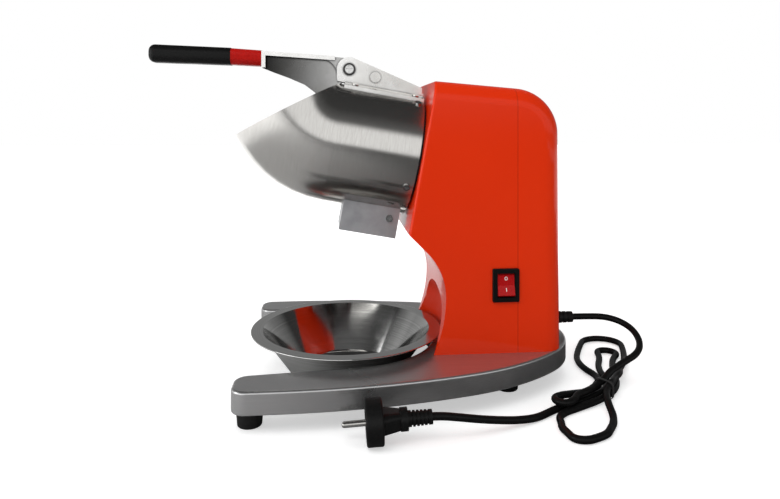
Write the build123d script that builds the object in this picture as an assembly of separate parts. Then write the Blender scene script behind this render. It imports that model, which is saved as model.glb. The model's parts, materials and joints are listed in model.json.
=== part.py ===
from build123d import *
from math import cos, pi, radians, sin, sqrt, tan
import os

# Electric ice shaver with a press lever.
# A tilted stainless hopper with a scooped mouth feeds ice to a blade disc. A lever swings a
# pusher plate down the hopper, a motor in the tall housing turns the disc, and the shaved ice
# falls through a chute into a bowl that stands in the notch of a horseshoe base.
# Millimetres. +X is the rear, -X the front, -Y the switch side, +Z up. The origin is on the
# table, under the middle of the object without its cord.

os.makedirs("parts", exist_ok=True)

# ---------------------------------------------------------------- driving dimensions
# feet and base
FOOT_HEIGHT = 18.0
FOOT_RADIUS = 12.0
FRONT_FEET = (-100.0, 110.0)
REAR_FEET = (139.5, 55.0)
BASE_THICKNESS = 20.0
BASE_FRONT = -114.0
BASE_REAR = 213.0
BASE_HALF_WIDTH = 135.0
PRONG_INNER = 97.5
PRONG_TIP_RADIUS = 13.0
BASE_WALL = 5.0
BASE_COVER = 1.5
BASE_TOP_ROUND = 2.5

# bowl
BOWL_X = -15.0
BOWL_RIM_RADIUS = 97.0
BOWL_HEIGHT = 48.0
BOWL_FOOT_RADIUS = 53.0
BOWL_LIP = 10.5
BOWL_SHEET = 1.2
NOTCH_RADIUS = 88.0

# housing
HOUSING_HALF_WIDTH = 65.0
HOUSING_WALL = 3.5
HOUSING_REAR = 193.5
HOUSING_ROUND = 18.0
FRONT_ROUND = 2.5
HOUSING_BACK_RADIUS = 45.0
NECK_X = 78.0
NECK_Z = 92.0
HEAD_TOP_Z = 299.0
HEAD_TOP_SLOPE = 4.9
BOWL_RECESS_RADIUS = 104.0

# drive axis, tilted down towards the rear; it starts on the housing's front face
TILT = 10.2
AXIS_START = (55.4, 0.0, 223.0)
TUBE_RADIUS = 60.75
TUBE_WALL = 1.5
TUBE_END = -2.5
ELBOW_START = -86.2
ELBOW_ANGLE = 53.0
ELBOW_CREASE = 2.0
SHAFT_RADIUS = 5.0
DISC_RADIUS = 56.5
DISC_FRONT = -46.0
DISC_THICKNESS = 4.0
STATOR_RADIUS = 48.0
STATOR_START = 30.0
STATOR_END = 85.0

# lever
PIVOT = (-12.5, 0.0, 312.5)
PIVOT_RADIUS = 4.0
GRIP_TIP_X = -213.0
COLLAR_X = -132.0
ARM_X = -101.0
GRIP_WIDTH = 22.0
PUSHER_RADIUS = 50.0
PUSHER_REACH = 76.0
PUSHER_SWING = 13.0
PUSHER_PLATE = 7.0
PUSHER_BOLTS = (PUSHER_REACH - 22, PUSHER_REACH + 6)
STEM_BACK = -10.5
HUB_RADIUS = 11.6
HUB_HALF = 8.8
WEB_HALF = 3.0
FLANGE_HALF = 10.5
TANG_LENGTH = 106.0
TANG_MIDDLE = (-153.0, 0.0, 325.9)
GRIP_FALL = 2.2
CHEEK_GAP = 9.0
CHEEK_THICKNESS = 4.5
CHEEK_RADIUS = 12.5
CHEEK_FALL = 23.5
SPACER = (14.0, 0.0, 304.5)
RIVET_ALONG = (-74.0, -12.0)
RIVET_ANGLE = 18.0

# switch, on the near side
SWITCH_X = 135.7
SWITCH_Z = 103.0
SWITCH_HEIGHT = 32.0
SWITCH_WIDTH = 26.0
ROCKER_REACH = 11.3

# mains cord
CORD_DIAMETER = 6.5
CORD_EXIT_Z = 51.0
RELIEF_END_X = 225.0
PLUG_ENTRY = (50.9, -155.0, 21.4)
PLUG_TILT = 3.0
PLUG_ROLL = 24.0

BASE_BOTTOM = FOOT_HEIGHT
BASE_TOP = FOOT_HEIGHT + BASE_THICKNESS
CORD_RADIUS = CORD_DIAMETER / 2
FIT = 0.05
SEAT_GAP = 0.02

BOTTOM = (Align.CENTER, Align.CENTER, Align.MIN)
DRIVE = Plane(
    origin=AXIS_START,
    x_dir=(sin(radians(TILT)), 0, cos(radians(TILT))),
    z_dir=(cos(radians(TILT)), 0, -sin(radians(TILT))),
).location


# ---------------------------------------------------------------- small helpers
def save(shape, node):
    """Write one node; several separate solids stay separate in it."""
    export_step(shape, f"parts/{node}.step")


def group(solids):
    """Separate solids of one kind, kept in one node."""
    return Compound(children=list(solids))


def disc(radius, start, end):
    """A cylinder about the Z axis from one height to another."""
    return Pos(0, 0, start) * Cylinder(radius, end - start, align=BOTTOM)


def ring(outer, inner, start, end):
    return disc(outer, start, end) - disc(inner, start - 1, end + 1)


def box(low, high):
    """A block from its lowest to its highest corner."""
    size = [b - a for a, b in zip(low, high)]
    return Pos(*low) * Box(*size, align=(Align.MIN, Align.MIN, Align.MIN))


def around(count, first=0.0):
    """Even turns about the Z axis."""
    return [Rot(0, 0, first + 360.0 * k / count) for k in range(count)]


def across(shape):
    """Turn a piece made about Z so that it lies about the Y axis."""
    return Rot(90, 0, 0) * shape


def side_profile(points):
    """A closed face in the XZ plane from (x, z) points."""
    corners = [(x, 0, z) for x, z in points]
    return make_face(Polyline(*corners, close=True))


def thick(face, half_width):
    """Extrude a face in the XZ plane to both sides of it."""
    return extrude(face, amount=half_width, dir=(0, 1, 0), both=True)


def panhead_screw(shank, length, head, head_height):
    """A screw with its head above z = 0 and its shank below."""
    body = disc(shank, -length, 0) + disc(head, 0, head_height)
    slot = box((-head * 0.6, -0.4, head_height - 0.8), (head * 0.6, 0.4, head_height + 1))
    return body - slot - Rot(0, 0, 90) * slot


def radial(angle, distance, along):
    """A place on the drive axis: its Z axis points outwards, angle 0 is the hopper's top."""
    return Rot(0, 0, angle) * Pos(distance, 0, along) * Rot(0, 90, 0)


# ---------------------------------------------------------------- base
def base_outline():
    """The horseshoe outline: long side arcs that tighten to a rounded rear, two prongs."""
    side_start = Vector(BASE_FRONT + 39, BASE_HALF_WIDTH)
    side_end = Vector(95, 112)
    rear_turn = Vector(184.2, 63.8)
    rear = Vector(BASE_REAR, 0)
    tip = Vector(BASE_FRONT + PRONG_TIP_RADIUS, BASE_HALF_WIDTH)
    notch_angle = 6.1
    touch = Vector(
        BOWL_X + NOTCH_RADIUS * sin(radians(notch_angle)),
        NOTCH_RADIUS * cos(radians(notch_angle)),
    )
    inner = Vector(BASE_FRONT + PRONG_TIP_RADIUS, PRONG_INNER)
    outer_tip = Vector(BASE_FRONT, BASE_HALF_WIDTH - PRONG_TIP_RADIUS)
    inner_tip = Vector(BASE_FRONT, PRONG_INNER + PRONG_TIP_RADIUS)
    long_arc = TangentArc(side_start, side_end, tangent=(1, 0))
    shoulder = TangentArc(side_end, rear_turn, tangent=long_arc % 1)
    back = ThreePointArc(rear_turn, rear, Vector(rear_turn.X, -rear_turn.Y))
    notch = ThreePointArc(
        touch, Vector(BOWL_X + NOTCH_RADIUS, 0), Vector(touch.X, -touch.Y)
    )
    half = [
        Line(tip, side_start),
        long_arc,
        shoulder,
        TangentArc(outer_tip, tip, tangent=(0, 1)),
        Line(inner_tip, outer_tip),
        TangentArc(inner_tip, inner, tangent=(0, -1)),
        Line(inner, touch),
    ]
    other = [edge.mirror(Plane.XZ) for edge in half]
    return make_face(half + other + [back, notch])


def housing_screw_places():
    return [(110, 50), (110, -50), (172, 44), (172, -44)]


def foot_places():
    return [
        ("foot_front_left", FRONT_FEET[0], -FRONT_FEET[1]),
        ("foot_front_right", FRONT_FEET[0], FRONT_FEET[1]),
        ("foot_rear_left", REAR_FEET[0], -REAR_FEET[1]),
        ("foot_rear_right", REAR_FEET[0], REAR_FEET[1]),
    ]


def make_base():
    outline = base_outline()
    casting = Pos(0, 0, BASE_BOTTOM) * extrude(outline, amount=BASE_THICKNESS)
    rim = casting.faces().sort_by(Axis.Z)[-1].edges()
    casting = fillet(rim, BASE_TOP_ROUND)
    casting = fillet(casting.faces().sort_by(Axis.Z)[0].edges(), 1.5)
    cover_outline = offset(outline, amount=-3.0)
    pocket_outline = offset(outline, amount=-BASE_WALL - 1.5)
    rebate = Pos(0, 0, BASE_BOTTOM - 1) * extrude(cover_outline, amount=BASE_COVER + 1)
    pocket = Pos(0, 0, BASE_BOTTOM) * extrude(
        pocket_outline, amount=BASE_THICKNESS - BASE_WALL
    )
    bosses = [Pos(x, y, 0) * disc(9, BASE_BOTTOM + BASE_COVER, BASE_TOP - 1)
              for _, x, y in foot_places()]
    bosses += [Pos(x, y, 0) * disc(7, BASE_BOTTOM + BASE_COVER, BASE_TOP - 1)
               for x, y in housing_screw_places()]
    ribs = [box((-80, side * 116 - 1.5, BASE_BOTTOM + BASE_COVER),
                (20, side * 116 + 1.5, BASE_TOP - 1)) for side in (1, -1)]
    ribs.append(box((95, -1.5, BASE_BOTTOM + BASE_COVER), (200, 1.5, BASE_TOP - 1)))
    casting = casting - rebate - (pocket - bosses - ribs)
    foot_holes = [Pos(x, y, 0) * disc(2.5 + FIT, 0, BASE_TOP - 6) for _, x, y in foot_places()]
    screw_holes = [Pos(x, y, 0) * disc(2.5 + FIT, 0, BASE_TOP + 1)
                   for x, y in housing_screw_places()]
    casting = casting - foot_holes - screw_holes
    wire_hole = Pos(150, 0, 0) * disc(9, BASE_TOP - 8, BASE_TOP + 1)
    casting = casting - wire_hole
    save(casting, "base_casting")

    cover = Pos(0, 0, BASE_BOTTOM) * extrude(offset(outline, amount=-3.2), amount=BASE_COVER)
    cover = cover - foot_holes - screw_holes
    slots = [box((118 + 9 * k, -22, 0), (121 + 9 * k, 22, BASE_BOTTOM + 3)) for k in range(7)]
    save(cover - slots, "base_cover")

    for node, x, y in foot_places():
        foot = Cone(FOOT_RADIUS - 1.5, FOOT_RADIUS, FOOT_HEIGHT, align=BOTTOM)
        foot = fillet(foot.faces().sort_by(Axis.Z)[0].edges(), 1.5)
        foot = foot - disc(5.0, -1, 6) - disc(2.5 + FIT, -1, FOOT_HEIGHT + 1)
        save(Pos(x, y, 0) * foot, node)
    screw = Rot(180, 0, 0) * panhead_screw(2.5, 24, 4.6, 3.0)
    save(group([Pos(x, y, 6) * screw for _, x, y in foot_places()]), "foot_screws")
    long_screw = Rot(180, 0, 0) * panhead_screw(2.5, 38, 4.6, 2.6)
    save(group([Pos(x, y, BASE_BOTTOM) * long_screw for x, y in housing_screw_places()]),
         "housing_screws")


# ---------------------------------------------------------------- housing
def housing_profile(inset):
    """The side view of the housing, drawn inset from its outer skin."""
    slope = tan(radians(TILT))
    arc_radius = 60.0 + inset
    low_radius = 128.4 + inset
    neck = (NECK_X + inset, NECK_Z)
    foot_z = BASE_TOP if inset == 0 else BASE_TOP - 4
    drop = NECK_Z - foot_z
    foot_x = NECK_X - 128.4 + sqrt(low_radius ** 2 - drop ** 2)
    mid_drop = drop / 2
    mid_x = NECK_X - 128.4 + sqrt(low_radius ** 2 - mid_drop ** 2)
    centre_x = NECK_X - 60.0
    under = radians(45)
    head_start = (centre_x + arc_radius * cos(under), NECK_Z + arc_radius * sin(under))
    head_mid = (centre_x + arc_radius * cos(under / 2), NECK_Z + arc_radius * sin(under / 2))
    # the front face passes through the start of the drive axis, square to it
    face_shift = inset / cos(radians(TILT))
    face_x0 = AXIS_START[0] - AXIS_START[2] * slope + face_shift
    chin_z = (head_start[0] + head_start[1] - face_x0) / (1 + slope)
    chin_x = face_x0 + chin_z * slope
    top_slope = tan(radians(HEAD_TOP_SLOPE))
    top_z0 = HEAD_TOP_Z - inset + 69.1 * top_slope
    brow_z = (top_z0 - top_slope * face_x0) / (1 + top_slope * slope)
    brow_x = face_x0 + brow_z * slope
    rear_x = HOUSING_REAR - inset
    corner_z = top_z0 - top_slope * (rear_x - 2)

    def at(point):
        return (point[0], 0, point[1])

    lower = ThreePointArc(at((foot_x, foot_z)), at((mid_x, NECK_Z - mid_drop)), at(neck))
    upper = ThreePointArc(at(neck), at(head_mid), at(head_start))
    rest = Polyline(
        at(head_start), at((chin_x, chin_z)), at((brow_x, brow_z)),
        at((rear_x - 2, corner_z)), at((rear_x, foot_z)), at((foot_x, foot_z)),
    )
    face = make_face([lower, upper] + list(rest.edges()))
    crown = face.vertices().sort_by_distance(at((rear_x - 2, corner_z)))[0]
    return fillet(crown, HOUSING_BACK_RADIUS - inset)


def bowl_recess(radius, top):
    """The round hollow in the housing's foot that lets the bowl's rim in."""
    round_size = 26.0
    profile = make_face(Polyline(
        (0, 0, BASE_TOP - 10), (radius, 0, BASE_TOP - 10), (radius, 0, top),
        (0, 0, top), close=True))
    corner = profile.vertices().sort_by_distance((radius, 0, top))[0]
    profile = fillet(corner, round_size)
    return Pos(BOWL_X, 0, 0) * revolve(profile, axis=Axis.Z)


def long_side_edges(body, half_width, x_low):
    """The edges that run round the top and back of a housing body."""
    picked = []
    for edge in body.edges():
        middle = edge.center()
        on_side = abs(abs(middle.Y) - half_width) < 0.01
        if on_side and middle.X > x_low and middle.Z > BASE_TOP + 2:
            picked.append(edge)
    return picked


def make_housing():
    outer = thick(housing_profile(0), HOUSING_HALF_WIDTH)
    outer = fillet(long_side_edges(outer, HOUSING_HALF_WIDTH, 90), HOUSING_ROUND)
    front = outer.faces().sort_by_distance(AXIS_START)[0]
    outer = fillet(front.edges().filter_by_position(Axis.Z, 160, 320), FRONT_ROUND)
    outer = outer - bowl_recess(BOWL_RECESS_RADIUS, 96)
    inner_half = HOUSING_HALF_WIDTH - HOUSING_WALL
    inner = thick(housing_profile(HOUSING_WALL), inner_half)
    inner = fillet(long_side_edges(inner, inner_half, 94), HOUSING_ROUND - HOUSING_WALL)
    inner = inner - bowl_recess(BOWL_RECESS_RADIUS + HOUSING_WALL, 96 + HOUSING_WALL)
    posts = [Pos(x, y, 0) * disc(7, BASE_TOP, BASE_TOP + 26) for x, y in housing_screw_places()]
    webs = [box((x - 1.5, min(y, side * inner_half), BASE_TOP),
                (x + 1.5, max(y, side * inner_half), BASE_TOP + 24))
            for x, y in housing_screw_places() for side in (1 if y > 0 else -1,)]
    pilot = [Pos(x, y, 0) * disc(2.5 + FIT, BASE_TOP - 1, BASE_TOP + 20)
             for x, y in housing_screw_places()]
    shell = outer - inner + posts + webs
    shell = shell - pilot
    shell = shell - DRIVE * disc(22.0, -2, 12)
    for turn in around(4, 45):
        shell = shell - DRIVE * turn * Pos(38, 0, 0) * disc(2.5 + FIT, -2, 12)
    shell = shell - box(
        (SWITCH_X - 11.1, -HOUSING_HALF_WIDTH - 1, SWITCH_Z - 14.1),
        (SWITCH_X + 11.1, -inner_half + 1, SWITCH_Z + 14.1))
    shell = shell - Pos(HOUSING_REAR - 8, 0, CORD_EXIT_Z) * Rot(0, 90, 0) * disc(
        5.5 + FIT, 0, 20)
    slots = [box((HOUSING_REAR - 8, -27, 96 + 8 * k), (HOUSING_REAR + 4, 27, 99 + 8 * k))
             for k in range(6)]
    save(shell - slots, "housing_shell")


# ---------------------------------------------------------------- hopper and chute
def hopper_body(radius, start, end):
    """Straight tube and scoop elbow of one radius; the elbow bends up about its top line."""
    straight = disc(radius, start, end)
    mouth = Pos(0, 0, ELBOW_START) * Circle(radius)
    bend = Axis((TUBE_RADIUS + ELBOW_CREASE, 0, ELBOW_START), (0, -1, 0))
    return straight + revolve(mouth, axis=bend, revolution_arc=end_angle(radius))


def end_angle(radius):
    """The inner body runs a little past the mouth, so that the cut goes right through."""
    return ELBOW_ANGLE if radius > TUBE_RADIUS - 0.1 else ELBOW_ANGLE + 2


def hopper_screw_angles():
    return (28, -28, 118, -118)


def make_hopper():
    outside = hopper_body(TUBE_RADIUS, ELBOW_START, TUBE_END)
    inside = hopper_body(TUBE_RADIUS - TUBE_WALL, ELBOW_START, TUBE_END + 1)
    tube = outside - inside
    discharge = box((-TUBE_RADIUS - 5, -24, DISC_FRONT + 6), (-TUBE_RADIUS + 16, 24, -16))
    tube = tube - discharge
    for angle in hopper_screw_angles():
        tube = tube - radial(angle, TUBE_RADIUS, -9) * disc(2 + FIT, -12, 4)
    save(DRIVE * tube, "hopper_tube")

    flange = disc(TUBE_RADIUS - TUBE_WALL - 0.1, -14, TUBE_END) + disc(17, -24, -14)
    flange = flange - disc(SHAFT_RADIUS + 2, -30, 5) - disc(11, -25, -17)
    for angle in hopper_screw_angles():
        flange = flange - radial(angle, TUBE_RADIUS, -9) * disc(2 + FIT, -12, 4)
    for turn in around(4, 45):
        flange = flange - turn * Pos(38, 0, 0) * disc(2.5 + FIT, -20, 5)
        flange = flange - turn * Pos(38, 0, 0) * disc(4.7, -15, -11)
    save(DRIVE * flange, "hopper_flange")

    gasket = ring(55, 22, TUBE_END, 0)
    for turn in around(4, 45):
        gasket = gasket - turn * Pos(38, 0, 0) * disc(2.5 + FIT, -5, 5)
    save(DRIVE * gasket, "flange_gasket")

    side_screw = panhead_screw(2, 10, 3.4, 1.6)
    save(DRIVE * group([radial(a, TUBE_RADIUS + 0.02, -9) * side_screw
                        for a in hopper_screw_angles()]), "hopper_screws")
    mount_screw = Rot(180, 0, 0) * panhead_screw(2.5, 24, 4.5, 2.8)
    save(DRIVE * group([turn * Pos(38, 0, -11) * mount_screw for turn in around(4, 45)]),
         "flange_screws")


CHUTE_FRONT = -65.0
CHUTE_REAR = -8.0
CHUTE_BOTTOM = -83.0
CHUTE_HALF_WIDTH = 30.0
CHUTE_SHEET = 1.2


def make_chute():
    outside = box((CHUTE_BOTTOM, -CHUTE_HALF_WIDTH, CHUTE_FRONT),
                  (-40, CHUTE_HALF_WIDTH, CHUTE_REAR))
    inside = box((CHUTE_BOTTOM - 1, -CHUTE_HALF_WIDTH + CHUTE_SHEET, CHUTE_FRONT + CHUTE_SHEET),
                 (-39, CHUTE_HALF_WIDTH - CHUTE_SHEET, CHUTE_REAR - CHUTE_SHEET))
    skirt = outside - inside - disc(TUBE_RADIUS + 0.1, CHUTE_FRONT - 5, CHUTE_REAR + 5)
    tab_top = -sqrt(TUBE_RADIUS ** 2 - (CHUTE_HALF_WIDTH - 4) ** 2) - 2
    tabs = []
    screws = []
    for side in (1, -1):
        inner = side * (CHUTE_HALF_WIDTH - CHUTE_SHEET - 0.05)
        deep = side * (CHUTE_HALF_WIDTH - CHUTE_SHEET - 2.05)
        tab = box((tab_top - 14, min(inner, deep), -25), (-45, max(inner, deep), -12))
        tab = tab - disc(TUBE_RADIUS + 0.05, -60, 0)
        hole = Pos(-64, 0, -17.5) * across(disc(2 + FIT, -40, 40))
        skirt = skirt - hole
        tabs.append(tab - hole)
        screw = panhead_screw(2, 7, 3.6, 1.8)
        screws.append(Pos(-64, side * (CHUTE_HALF_WIDTH + 0.02), -17.5)
                      * Rot(-90 * side, 0, 0) * screw)
    save(DRIVE * skirt, "discharge_chute")
    save(DRIVE * group(tabs), "chute_tabs")
    save(DRIVE * group(screws), "chute_screws")


# ---------------------------------------------------------------- drive and motor
def make_drive():
    shaft = disc(SHAFT_RADIUS, DISC_FRONT - 2, 126) + disc(3.0, DISC_FRONT - 12, DISC_FRONT - 2)
    shaft = shaft + disc(8, 12.5, 28)
    save(DRIVE * shaft, "motor_shaft")

    back = DISC_FRONT + DISC_THICKNESS
    plate = disc(DISC_RADIUS, DISC_FRONT, back) + disc(14, back, back + 12)
    plate = plate - disc(SHAFT_RADIUS + FIT, DISC_FRONT - 1, back + 14)
    blades = []
    screws = []
    vanes = []
    for turn in around(3):
        window = box((20, -7, DISC_FRONT - 1), (51, 1, back + 1))
        plate = plate - turn * window
        blade_place = turn * Pos(35.5, 2.5, DISC_FRONT - 1.6) * Rot(14, 0, 0)
        blade = box((-16, -5, -1), (16, 9, 1.2))
        edge_cut = Pos(0, -5, -1) * Rot(-32, 0, 0) * box((-20, -8, -3), (20, 8, 0))
        blade = blade_place * (blade - edge_cut)
        for along in (-9, 9):
            hole = turn * Pos(35.5 + along, 7.5, DISC_FRONT) * disc(1.6 + FIT, -6, 4.1)
            blade = blade - hole
            plate = plate - hole
            screw = Rot(180, 0, 0) * panhead_screw(1.6, 5.5, 3.0, 1.4)
            screws.append(turn * Pos(35.5 + along, 7.5, DISC_FRONT - 1.9) * screw)
        blade = blade - turn * disc(DISC_RADIUS + 5, DISC_FRONT, DISC_FRONT + 8)
        blades.append(blade)
        vane = box((14.2, -1.5, back), (DISC_RADIUS - 4, 1.5, back + 12))
        vanes.append(turn * Rot(0, 0, 60) * vane)
    plate = plate + vanes
    save(DRIVE * plate, "blade_disc")
    save(DRIVE * group([blade - screws for blade in blades]), "shaving_blades")
    save(DRIVE * group(screws), "blade_screws")

    nut = extrude(RegularPolygon(8.0, 6), amount=6.5)
    nut = Pos(0, 0, DISC_FRONT - 8.5) * nut - disc(3.0 + FIT, DISC_FRONT - 20, DISC_FRONT)
    save(DRIVE * nut, "disc_nut")

    fan = disc(11, 113, 122) - disc(SHAFT_RADIUS + FIT, 100, 130)
    fan = fan + ring(40, 10, 113, 115)
    for turn in around(9):
        fan = fan + turn * Pos(0, 4, 0) * box((9, -1, 115), (40, 1, 123))
    fan = fan - disc(SHAFT_RADIUS + FIT, 100, 130)
    save(DRIVE * fan, "cooling_fan")

    core = disc(26.4, STATOR_START, STATOR_END) - disc(SHAFT_RADIUS + FIT, 0, 120)
    save(DRIVE * core, "rotor_core")


def make_motor():
    lug = disc(5.8, 0, 10)
    front = disc(50, 4, 12) + ring(52, STATOR_RADIUS + 0.1, 12, 38) + disc(21.9, TUBE_END, 4)
    for turn in around(4):
        front = front + turn * Pos(54, 0, 12) * lug
    front = front - disc(SHAFT_RADIUS + 2, -10, 20) - disc(13 + FIT, 4, 20)
    front = front - disc(STATOR_RADIUS + 0.1, 12, 40)
    for turn in around(4):
        front = front - turn * Pos(54, 0, 0) * disc(2 + FIT, 10, 24)
    for turn in around(4, 45):
        front = front - turn * Pos(38, 0, 0) * disc(2.5 + FIT, 0, 20)
    save(DRIVE * front, "motor_front_bell")

    rear = ring(52, STATOR_RADIUS + 0.1, 77, 100) + disc(52, 100, 110)
    for turn in around(4):
        rear = rear + turn * Pos(54, 0, 90) * lug
    rear = rear - disc(SHAFT_RADIUS + 2, 90, 120) - disc(11 + FIT, 90, 107)
    rear = rear - disc(STATOR_RADIUS + 0.1, 76, 100)
    for turn in around(4):
        rear = rear - turn * Pos(54, 0, 0) * disc(2 + FIT, 80, 112)
        rear = rear - turn * Pos(54, 0, 0) * disc(4.6, 100, 112)
    for turn in around(6):
        rear = rear - turn * Pos(32, 0, 0) * disc(7, 98, 112)
    save(DRIVE * rear, "motor_rear_bell")

    stator = ring(STATOR_RADIUS, 27, STATOR_START, STATOR_END)
    for turn in around(12):
        stator = stator - turn * Pos(34, 0, 0) * box((-4, -3, 0), (4, 3, 120))
        stator = stator - turn * box((25, -1, 0), (31, 1, 120))
    save(DRIVE * stator, "stator_core")
    coils = []
    for start, end in ((16, STATOR_START), (STATOR_END, 98)):
        coil = ring(44, 29, start, end)
        rims = coil.edges().filter_by(GeomType.CIRCLE)
        coils.append(chamfer(rims, 3.5))
    save(DRIVE * group(coils), "stator_windings")

    save(DRIVE * ring(13, SHAFT_RADIUS + FIT, 4, 12), "front_bearing")
    save(DRIVE * ring(11, SHAFT_RADIUS + FIT, 100, 107), "rear_bearing")
    save(DRIVE * ring(11, SHAFT_RADIUS + FIT, -23, -17), "shaft_seal")
    bolt = panhead_screw(2, 86, 4, 2.5)
    save(DRIVE * group([turn * Pos(54, 0, 100.02) * bolt for turn in around(4)]), "motor_bolts")


# ---------------------------------------------------------------- lever
def bracket_profile():
    """One cheek: round about the pivot, its top running down to the tail."""
    x, _, z = PIVOT
    fall = radians(CHEEK_FALL)
    top_start = (x + CHEEK_RADIUS * sin(fall), z + CHEEK_RADIUS * cos(fall))
    tail_x = 62.0
    tail_z = top_start[1] - (tail_x - top_start[0]) * tan(fall)
    front = (x - CHEEK_RADIUS, z)
    mid = (x - CHEEK_RADIUS * sin(radians(45)), z + CHEEK_RADIUS * cos(radians(45)))

    def at(point):
        return (point[0], 0, point[1])

    nose = ThreePointArc(at(front), at(mid), at(top_start))
    rest = Polyline(
        at(top_start), at((tail_x, tail_z)), at((tail_x, 288)), at((tail_x + 6, 287)),
        at((tail_x + 6, 270)), at((x - 2, 270)), at((x - CHEEK_RADIUS, 303)), at(front),
    )
    return make_face([nose] + list(rest.edges()))


def make_bracket():
    half = CHEEK_GAP + CHEEK_THICKNESS
    profile = bracket_profile()
    full = thick(profile, half)
    slot = box((-60, -CHEEK_GAP, 250), (100, CHEEK_GAP, 350))
    saddle = ring(TUBE_RADIUS + 3.5, TUBE_RADIUS + 0.05, ELBOW_START + 1.5, -3)
    wedge = box((0, -24, -100), (80, 24, 0))
    clear_of_tube = DRIVE * disc(TUBE_RADIUS + 1.2, -120, 20)
    clear_of_elbow = DRIVE * box((0, -40, -130), (TUBE_RADIUS + 1.6, 40, ELBOW_START + 3))
    clear_of_housing = DRIVE * box((40, -80, -3.4), (90, 80, 40))
    cheeks = full - slot
    cheeks = cheeks - clear_of_tube
    cheeks = cheeks - clear_of_elbow
    cheeks = cheeks - clear_of_housing
    bracket = DRIVE * (saddle & wedge) + cheeks
    bracket = bracket - Pos(*PIVOT) * across(disc(PIVOT_RADIUS + FIT, -30, 30))
    bracket = bracket - Pos(*SPACER) * across(disc(3 + FIT, -30, 30))
    for along in RIVET_ALONG:
        for side in (1, -1):
            place = DRIVE * radial(side * RIVET_ANGLE, TUBE_RADIUS, along)
            bracket = bracket - place * disc(2 + FIT, -3, 8)
    save(bracket, "hinge_bracket")

    rivet = disc(2, 0.06, 3.5) + disc(3.2, 3.5, 5)
    save(DRIVE * group([radial(side * RIVET_ANGLE, TUBE_RADIUS, along) * rivet
                        for along in RIVET_ALONG for side in (1, -1)]), "bracket_rivets")

    bolt = disc(PIVOT_RADIUS, -half - 8, half) + disc(6.2, half, half + 3.4)
    cross = box((-3.8, -0.85, half + 1.6), (3.8, 0.85, half + 5))
    bolt = bolt - cross - Rot(0, 0, 90) * cross
    save(Pos(*PIVOT) * across(bolt), "pivot_bolt")
    nut = Pos(0, 0, -half - 7.2) * extrude(RegularPolygon(7.5, 6), amount=6.5)
    save(Pos(*PIVOT) * across(nut - disc(PIVOT_RADIUS, -50, 50)), "pivot_nut")
    pin = disc(3, -half - 1, half + 1) + disc(5.4, half, half + 1.6)
    pin = pin + disc(5.4, -half - 1.6, -half)
    save(Pos(*SPACER) * across(pin), "cheek_pin")
    sleeve = ring(5.2, 3 + FIT, -CHEEK_GAP + 0.05, CHEEK_GAP - 0.05)
    save(Pos(*SPACER) * across(sleeve), "cheek_spacer")


def pusher_place():
    """The pusher's own axes: Z points from the pivot down the stem, X towards the blades."""
    fall = radians(TILT - PUSHER_SWING)
    down = (-sin(fall), 0, -cos(fall))
    back = (cos(fall), 0, -sin(fall))
    return Plane(origin=PIVOT, x_dir=back, z_dir=down).location


def arm_web():
    """The thin web under the arm: it deepens towards the mouth and runs down to the pusher."""
    return side_profile([
        (ARM_X, 331.0), (-30, 326.2), (-12.5, 324.2), (-12.5, 306.0), (-21.6, 303.5),
        (-22.8, 300.0), (-19.9, 242.0), (-20.4, 228.0), (-27.0, 228.0), (-34.0, 262.0),
        (-47.6, 289.4), (-57.8, 297.1), (-73.0, 303.7), (-88.4, 309.3), (ARM_X, 314.3)])


def arm_shoulder():
    """The full-width boss round the pivot, with a hollow sweep up to the flange."""
    sweep_start = (-38.0, 0, 323.2)
    sweep_mid = (-28.6, 0, 317.6)
    sweep_end = (-24.6, 0, 307.6)
    sweep_arc = ThreePointArc(sweep_start, sweep_mid, sweep_end)
    rest = Polyline(sweep_end, (-23.0, 0, 301.5), (-12.5, 0, 303.0), (-12.5, 0, 324.2),
                    (-38.0, 0, 326.2), sweep_start)
    return make_face([sweep_arc] + list(rest.edges()))


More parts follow.
